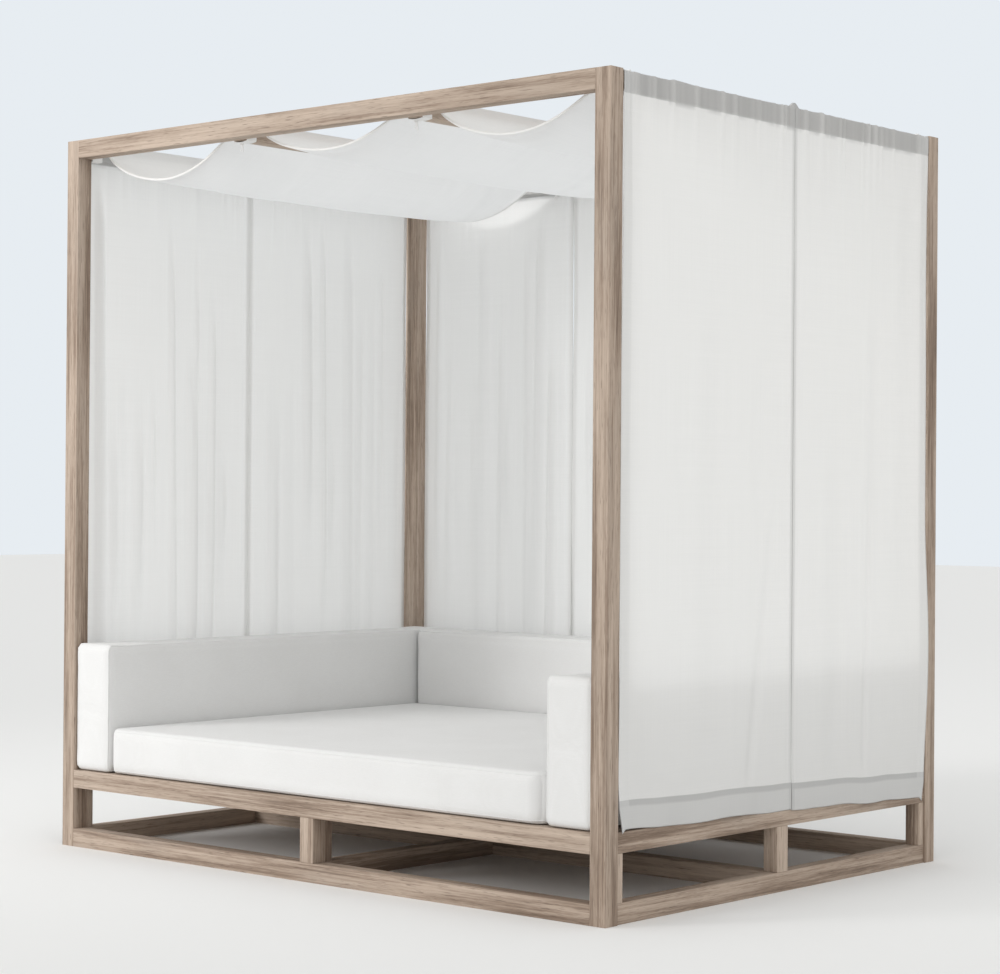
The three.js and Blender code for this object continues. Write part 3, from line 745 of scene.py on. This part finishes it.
class Drape:
    """How far one panel's cloth stands from flat, at a place along the beam and a height."""

    def __init__(self, name, panel, start, end):
        pick = random.Random(panel["seed"])
        self.panel, self.start, self.end = panel, start, end
        self.shift = pick.uniform(0, 50)
        self.creases = CREASES.get(name, [])
        self.folds, place = [], start
        while place < end:
            place += panel["spacing"] * pick.uniform(0.55, 1.4)
            half = panel["spacing"] * pick.uniform(0.22, 0.60)
            lean, deep = pick.uniform(-0.03, 0.03), pick.uniform(0.35, 1.0)
            reach = (pick.uniform(1.3, 2.35), pick.uniform(0.15, 0.9))
            self.folds.append((place, half, lean, deep, reach))
        self.puckers = []
        for _ in range(int((end - start) / 0.030)):
            width, size = pick.uniform(0.003, 0.010), pick.uniform(0.2, 1.0)
            self.puckers.append((pick.uniform(start, end), width, size, pick.uniform(0.05, 0.42)))

    def fold(self, along, height):
        """From 0, flat, to about 1, folded inwards."""
        depth, fallen = 0.0, (FOLD_TOP - height) / 1.8
        for place, half, lean, deep, (top, bottom) in self.folds:
            here = bump(along - place - lean * fallen, half * (0.75 + 0.5 * fallen))
            if here > 0:
                ends = smooth(top - height, 0, 0.4) * smooth(height, bottom - 0.1, bottom + 0.4)
                depth += deep * here * ends
        for top_at, top, bottom_at, bottom, half, deep in self.creases:
            part = (top - height) / (top - bottom)
            here = bump(along - top_at - part * (bottom_at - top_at), half)
            depth += deep * here * smooth(part, 0, 0.35) * smooth(height, 0.27, 0.36)
        edge = smooth(min(along - self.start, self.end - along), 0, 0.05)
        return min(1.2, depth) * edge * smooth(FOLD_TOP - height, 0.0, 0.2)

    def ridge(self, along, fallen=0.0):
        """From 0 to 1, how far the gathered cloth stands out, on the beam or some way below it."""
        total = 0.0
        for place, width, size, length in self.puckers:
            if fallen < length:
                wide = width * (1 + 6 * fallen)
                total += size * math.exp(-(((along - place) / wide) ** 2)) * (1 - fallen / length)
        return math.tanh(total)


def place_on_wall(wall, along, out, height):
    face = POST_FACE[wall] + out
    plan = {"right": (face, along), "left": (-face, along), "back": (along, face)}
    return Vector((*plan[wall], height))

# %% [markdown]
# ## Laying the cloth
# Along the beam the grid's columns run from the held end, whose edge is turned in as a side hem,
# to the seam with the leading hem. The leading hem is a strip of its own, doubled along its edge,
# because a hand slides it along the beam while the cloth behind it gathers. The cloth rides on the
# frame, and its leading hem on a body of its own.

# %% A grid for cloth, and its held edge
SIDE_HEM = {"right": 0.038, "left": 0.016, "back": 0.016}
MEETING = 0.0012
LEAD_HEM = 0.5
LAYER = 0.0009
LIFT = 0.0055
FOLD_SHADE = {"left": 0.12, "back": 0.13, "right": 0.04}
EAR = 0.035
FOOT_SWING = 0.13
SLAT_SIDES = (0.3155, 0.3679)
CLOTH_CELL = 0.0042


def held_edge(distance, height, hem):
    """How far a held edge hangs off its post, outwards, and down, near that edge."""
    near = math.exp(-distance / 0.05)
    knee, under = bump(height - 0.62, 0.42), bump(height - 1.72, 0.35)
    corner = smooth(hem + 0.055 - height, 0, 0.055)
    tip = 0.010 * max(0.0, 1 - distance / 0.016) * corner
    return near * (0.004 * under - 0.008 * knee + 0.011 * corner), 0.009 * near * knee, tip


def cloth_grid(name, across, down):
    """A flat grid of cells, and for each vertex its cloth value, its column and its row."""
    bpy.ops.object.select_all(action="DESELECT")
    bpy.ops.mesh.primitive_grid_add(x_subdivisions=across, y_subdivisions=down, size=1)
    piece = bpy.context.object
    piece.name = name
    cloth = piece.data.attributes.new("cloth", "FLOAT_VECTOR", "POINT")
    cells = []
    for vertex, value in zip(piece.data.vertices, cloth.data):
        column, row = round((vertex.co.x + 0.5) * across), round((vertex.co.y + 0.5) * down)
        cells.append((vertex, value, column, row))
    return piece, cells

# %% [markdown]
# Every point of the grid then moves to its place on the line. The pocket takes the puckers, the
# hanging part takes the folds, and the foot swings a little in and out. Where the cloth lies on the
# beam, is doubled or folds, its third number paints shade into its colour, and it paints the ridges
# of the puckers on the beam lighter.

# %% One piece of curtain
def lay_cloth(name, panel, drape, columns):
    """columns are (along, layer), where layer 1 lies behind layer 0."""
    row_count = len(pocket_rows() + hanging_rows(LEVEL_HEM))
    piece, cells = cloth_grid(name, len(columns) - 1, row_count - 1)
    wall = panel["wall"]
    held = drape.end if panel["draw"] > 0 else drape.start
    lines = {}
    for vertex, cloth, column, row in cells:
        along, layer = columns[column]
        if along not in lines:
            hem = hem_height(wall, along)
            rows = pocket_rows() + hanging_rows(hem)
            path = [0.0]
            for here, after in zip(rows, rows[1:]):
                path.append(path[-1] + math.dist(here[:2], after[:2]))
            lines[along] = (rows, path, drape.ridge(along), hem)
        rows, path, ridge, hem = lines[along]
        out, height, (way_out, way_up), puckered, painted_shade = rows[row]
        fold, up, uneven = 0.0, 0.0, noise.noise(Vector((along * 17, drape.shift, 2)))
        if height < STITCH - 0.002:
            folded = drape.fold(along, height)
            fold = panel["fold"] * folded
            # Painted shade in the folds, darker where the cloth folds deeper.
            painted_shade += FOLD_SHADE[wall] * folded
            ridge = drape.ridge(along, STITCH - height) if height > 1.6 else 0.0
        if height > STITCH - 0.002:
            thin = noise.noise(Vector((along * 75, drape.shift, 5)))
            # Painted light: the ridges of the puckers on the beam are painted lighter, with a little
            # random tone.
            painted_shade -= 0.24 * ridge + 0.10 * uneven + 0.08 * thin
        elif height > 2.0:
            under = height - STITCH + 0.009 + 0.010 * (uneven - ridge)
            # Painted shade of the beam, fading out over the cloth just below the stitch line.
            painted_shade = 0.8 * SHADE_ON_BEAM * smooth(under, 0, 0.010)
        if way_up > 0 and out > -0.013:
            up = 0.006 * max(0.0, uneven)
            if wall == "right":
                up += 0.014 * bump(along - EAR, 0.024)
        lift = LIFT * ridge * puckered - LAYER * layer
        out += lift * way_out - fold
        up += lift * way_up
        if height < hem + FOOT_SWING:
            low = smooth(hem + FOOT_SWING - height, 0.0, 0.10)
            out += 0.010 * low * max(0.0, 0.3 + noise.noise(Vector((along * 6, drape.shift, 4))))
            up += 0.011 * low * noise.noise(Vector((along * 5.5, drape.shift, 9)))
        distance = abs(along - held)
        if height < STITCH:
            slid, billow, tip = held_edge(distance, height, hem)
        else:
            slid, billow, tip = 0.0, 0.0, 0.0
        if distance < SIDE_HEM[wall]:
            # Painted shade where the side hem is doubled.
            painted_shade = min(painted_shade, 0.45) if painted_shade > SHADE_IN_SIDE_HEM else SHADE_IN_SIDE_HEM
        cloth.vector = (along + drape.shift, path[row], max(0.0, painted_shade))
        along -= panel["draw"] * slid
        vertex.co = place_on_wall(wall, along, out + billow, height + up - tip)
    bpy.ops.object.mode_set(mode="EDIT")
    bpy.ops.mesh.select_all(action="SELECT")
    bpy.ops.mesh.normals_make_consistent(inside=False)
    bpy.ops.object.mode_set(mode="OBJECT")
    bpy.ops.object.shade_smooth()
    piece.data.materials.append(curtain_cloth)
    return piece, lines[columns[len(columns) // 2][0]][1][-1]


def clear_of_slats(piece):
    """The pocket's inner layer is left open where a canopy slat meets the back beam."""
    select_only(piece)
    bpy.ops.object.mode_set(mode="EDIT")
    bpy.ops.mesh.select_all(action="DESELECT")
    bpy.ops.object.mode_set(mode="OBJECT")
    for face in piece.data.polygons:
        x, y, z = face.center
        face.select = SLAT_SIDES[0] < abs(x) < SLAT_SIDES[1] and y < 0.7255 and z > 2.074
    bpy.ops.object.mode_set(mode="EDIT")
    bpy.ops.mesh.delete(type="FACE")
    bpy.ops.object.mode_set(mode="OBJECT")

# %% [markdown]
# A panel takes its held end and its seam from its CAD node, and its leading hem from the node of
# that hem. The share printed as keep is the width that is left when the leading hem has gone all its
# way.

# %% The seven curtains
for panel_name, panel in PANELS.items():
    axis = 0 if panel["wall"] == "back" else 1
    cloth_span = [corner[axis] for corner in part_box(f"{panel_name}_curtain")]
    lead_span = [corner[axis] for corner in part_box(f"{panel_name}_curtain_lead")]
    held, seam = (cloth_span[1], cloth_span[0]) if panel["draw"] > 0 else cloth_span
    edge, start = lead_span if panel["draw"] > 0 else reversed(lead_span)
    drape = Drape(panel_name, panel, *cloth_span)
    steps = round(abs(seam - held) / CLOTH_CELL)
    side_hem = SIDE_HEM[panel["wall"]]
    inner = held + math.copysign(side_hem, seam - held)
    edge += math.copysign(MEETING, edge - start)
    columns = [(held + (inner - held) * part, 1) for part in (1, 0.8, 0.6, 0.4, 0.2, 0.02)]
    columns += [(held + (seam - held) * i / steps, 0) for i in range(steps + 1)]
    piece, length = lay_cloth(f"{panel_name}_curtain_cloth", panel, drape, columns)
    parts = (0, 0.15, 0.3, 0.45, 0.6, 0.75, 0.9, 1)
    lead_columns = [(start + (edge - start) * part, 0) for part in parts]
    lead_columns += [(start + (edge - start) * part, 1) for part in (0.97, 0.85, 0.7, LEAD_HEM)]
    lead, _ = lay_cloth(f"{panel_name}_leading_hem", panel, drape, lead_columns)
    doubled = LEAD_HEM * abs(edge - start)
    # Painted shade where the leading hem is doubled, more on the right wall.
    for point in lead.data.attributes["cloth"].data:
        if abs(point.vector.x - drape.shift - edge) < doubled:
            more_shade = 0.15 if panel["wall"] == "right" else 0.05
            point.vector.z = min(0.62, point.vector.z + more_shade)
    if panel["wall"] == "back":
        clear_of_slats(piece)
        clear_of_slats(lead)
    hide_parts(f"{panel_name}_curtain")
    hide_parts(f"{panel_name}_curtain_lead")
    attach(piece, "frame")
    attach(lead, f"{panel_name}_curtain_lead")
    width = abs(seam - held)
    along_beam = (1, 0, 0) if axis == 0 else (0, 1, 0)
    anchor = (held, 0.77, 1) if axis == 0 else (1, held, 1)
    keep = 1 - TRAVEL[f"{panel_name}_curtain_draw"] / width
    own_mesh(piece)
    width + side_hem
    abs(edge - start) + doubled
    print(panel_name, "flat", round(width + side_hem, 3), round(length, 3), "keep", round(keep, 3))

# %% [markdown]
# ## The sun sheet
# The sheet over the top is tied down at the beams and at the two slats, and sags between them
# in three swags. The line that it follows from left to right was measured on the front edge in the
# photograph: it leaves a slat steeply, is deepest a little left of the middle, and rises more
# slowly. Between its two tied edges the sheet sags deeper still. Soft wrinkles cross the rising
# side of each swag, where the cloth is pulled to the next slat.

# %% The sheet's line and height
SHEET_Y = 0.683
SHEET_X = 1.038
OVER_BEAM, OVER_SLAT = 2.1286, 2.1263
BAYS = [(-0.9974, -0.3670), (-0.3164, 0.3164), (0.3670, 0.9974)]
SAGS = [0.131, 0.100, 0.120]
MIDDLE_SAGS = [0.016, 0.030, 0.028]
SWAG_LINE = [(0, 0), (0.03, 0.27), (0.12, 0.60), (0.22, 0.81), (0.33, 0.94), (0.44, 1.0)]
SWAG_LINE += [(0.55, 0.96), (0.65, 0.84), (0.73, 0.68), (0.79, 0.52), (0.86, 0.31), (0.93, 0.13)]
SWAG_LINE += [(1, 0)]
BAY_CELLS = 60
SHEET_ROWS = 110


def swag_shape(part):
    """The drop at a share of the way across: the measured line, with its corners eased."""
    reach = min(0.05, part, 1 - part)
    near = [part + reach * step / 3 for step in range(-3, 4)]
    return float(np.mean(np.interp(near, *zip(*SWAG_LINE))))


def sheet_columns():
    """(x, height, drop, rising, middle sag) from left to right, drop 1 where a swag is deepest."""
    columns = [(x, OVER_BEAM, 0, 0, 0) for x in (-SHEET_X, -1.03, -1.022, -1.012, -1.004)]
    levels = [OVER_BEAM, OVER_SLAT, OVER_SLAT, OVER_BEAM]
    for bay, (start, end) in enumerate(BAYS):
        for i in range(BAY_CELLS + 1):
            part = i / BAY_CELLS
            drop = swag_shape(part)
            level = levels[bay] + part * (levels[bay + 1] - levels[bay])
            rising = smooth(part, 0.40, 0.62) * smooth(1 - part, 0.0, 0.18)
            middle = MIDDLE_SAGS[bay] * math.sin(math.pi * part)
            x = start + part * (end - start)
            columns.append((x, level - SAGS[bay] * drop, drop, rising, middle))
    return columns + [(-x, *rest) for x, *rest in reversed(columns[:5])]


def sheet_height(column, y):
    x, height, drop, rising, middle = column
    edge = 1 - (abs(y) / SHEET_Y) ** 2
    pull = noise.noise(Vector((x * 1.6 - y * 0.8, y * 5.5 + x * 2.6, 2.5)))
    fine = noise.noise(Vector((x * 2.2, y * 11 + x * 5, 6.4)))
    broad = noise.noise(Vector((x * 2.4, y * 2.6, 8.1)))
    crease = max(0.0, 1 - 4.5 * abs(pull)) ** 2
    wrinkles = (0.35 * drop + rising) * (0.004 * crease + 0.003 * fine) + 0.006 * rising * pull
    loose = min(1.0, 0.15 + 4 * edge)
    return height - middle * edge**0.4 + (wrinkles + 0.007 * broad * drop) * loose

# %% [markdown]
# The sheet is one grid. Its columns follow the swags and its rows run from front to back.

# %% One sheet over three bays
columns = sheet_columns()
sun_sheet, cells = cloth_grid("sun_sheet", len(columns) - 1, SHEET_ROWS)
for vertex, cloth, column, _ in cells:
    x, y = columns[column][0], 2 * SHEET_Y * vertex.co.y
    cloth.vector = (y, x, 0)
    vertex.co = (x, y, sheet_height(columns[column], y))
bpy.ops.object.shade_smooth()
sun_sheet.data.materials.append(canopy_cloth)
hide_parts("canopy_sheet")
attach(sun_sheet, "frame")

# %% [markdown]
# ## Rolled hems
# The sheet's front and back edges are rolled into a narrow hem. It is round, so part of it always
# faces the light, and it draws a bright line along the swags. A curve with a round section follows
# the edge, as one follows the welts, and its ends are closed before it becomes a mesh.

# %% Rolled hems of the sun sheet
HEM_RADIUS = 0.004
for end, y in (("front", -SHEET_Y), ("back", SHEET_Y)):
    points = [(column[0], y, sheet_height(column, y) + 0.0005) for column in columns]
    hem = tube_along(f"{end}_rolled_hem", points, HEM_RADIUS)
    dress(hem, rolled_cloth, "frame")

# %% [markdown]
# ## Ties
# Beside each edge a strap of the same cloth goes round each slat and is knotted under it, and at
# the side beams it turns down over the inner face. A strap is a narrow grid laid on the line round
# the timber, and Solidify gives it its thickness.

# %% A strap, and the line round a slat
STRAP_Y = (0.6853, 0.7223)
STRAP_THICKNESS = 0.0009
SLAT_LEVELS = (2.0738, 2.1262)


def strap_along(name, line, side, closed):
    """A strap over a line of (x, z), on the front (-1) or back (1) side of the canopy."""
    low, high = sorted(side * y for y in STRAP_Y)
    strap, cells = cloth_grid(name, len(line) - 1, 6)
    for vertex, cloth, step, _ in cells:
        x, z = line[step]
        y = low + (vertex.co.y + 0.5) * (high - low)
        y += 0.0015 * noise.noise(Vector((step * 0.35, x * 9, side)))
        cloth.vector = (y, step * 0.01, 0)
        vertex.co = (x, y, z)
    select_only(strap)
    bpy.ops.object.mode_set(mode="EDIT")
    bpy.ops.mesh.select_all(action="SELECT")
    if closed:
        bpy.ops.mesh.remove_doubles(threshold=0.00005)
    bpy.ops.mesh.normals_make_consistent(inside=False)
    bpy.ops.object.mode_set(mode="OBJECT")
    shell = strap.modifiers.new("cloth_thickness", "SOLIDIFY")
    shell.thickness = STRAP_THICKNESS
    shell.offset = 0
    apply_modifiers(strap)
    bpy.ops.object.shade_smooth_by_angle(angle=math.radians(50))
    dress(strap, rolled_cloth, "frame")
    return strap


def round_timber(sides, levels, ease=0.002, sag=0.0025):
    """A closed line round a member, with eased corners, a little slack underneath."""
    (left, right), (low, high) = sides, levels
    centres = [(right - ease, low + ease), (right - ease, high - ease), (left + ease, high - ease)]
    centres.append((left + ease, low + ease))
    line = []
    for turn, (x, z) in enumerate(centres):
        for i in range(4):
            angle = math.pi / 2 * (turn - 1 + i / 3)
            line.append((x + ease * math.cos(angle), z + ease * math.sin(angle)))
    for i in range(1, 8):
        part = i / 8
        x = left + ease + part * (right - left - 2 * ease)
        line.append((x, low - sag * math.sin(math.pi * part)))
    return line + line[:1]

# %% [markdown]
# The knot is the curve that a tied end makes, with the two ends left hanging.

# %% A knot
def knot(name, at, side):
    """A small overhand knot with two hanging ends."""
    loop = []
    for i in range(36):
        turn = 2 * math.pi * i / 36
        x = math.sin(turn) + 2 * math.sin(2 * turn)
        z = math.cos(turn) - 2 * math.cos(2 * turn)
        y = -side * 0.0017 * math.sin(3 * turn)
        loop.append((at[0] + 0.0021 * x, at[1] + y, at[2] + 0.0015 * z))
    pieces = [tube_along(name, loop, 0.0017, closed=True)]
    for lean, length in ((-0.5, 0.018), (0.35, 0.023)):
        tail = []
        for t in [step / 8 for step in range(9)]:
            x = lean * 0.012 * t + 0.002 * math.sin(4 * t)
            tail.append((at[0] + x, at[1] + 0.002 * t, at[2] - length * t))
        pieces.append(tube_along("tail", tail, 0.0015))
    bpy.ops.object.select_all(action="DESELECT")
    for part in pieces:
        part.select_set(True)
    bpy.context.view_layer.objects.active = pieces[0]
    bpy.ops.object.join()
    dress(pieces[0], rolled_cloth, "frame")
    return pieces[0]

# %% [markdown]
# A strap goes over each side beam too, from the sheet's edge down the inner face and under it.

# %% Ties at the slats and side beams
for side, end in ((-1, "front"), (1, "back")):
    for hand, word in ((-1, "left"), (1, "right")):
        slat = sorted(hand * x for x in SLAT_SIDES)
        round_slat = round_timber(slat, SLAT_LEVELS)
        strap_along(f"{end}_{word}_slat_tie", round_slat, side, True)
        at = (slat[0] + 0.012, side * (sum(STRAP_Y) / 2), SLAT_LEVELS[0] - 0.006)
        knot(f"{end}_{word}_slat_knot", at, side)
        over = [(hand * x, 2.1292) for x in (1.037, 1.030, 1.020, 1.010, 1.002)]
        over += [(hand * x, z) for x, z in ((0.9985, 2.1285), (0.9963, 2.1265), (0.9958, 2.120))]
        over += [(hand * (0.9956 - 0.0006 * math.sin(i)), 2.112 - 0.008 * i) for i in range(5)]
        turned_under = ((0.9962, 2.0735), (0.9985, 2.0712), (1.008, 2.0708), (1.02, 2.0710))
        over += [(hand * x, z) for x, z in turned_under]
        strap_along(f"{end}_{word}_beam_tie", over, side, False)
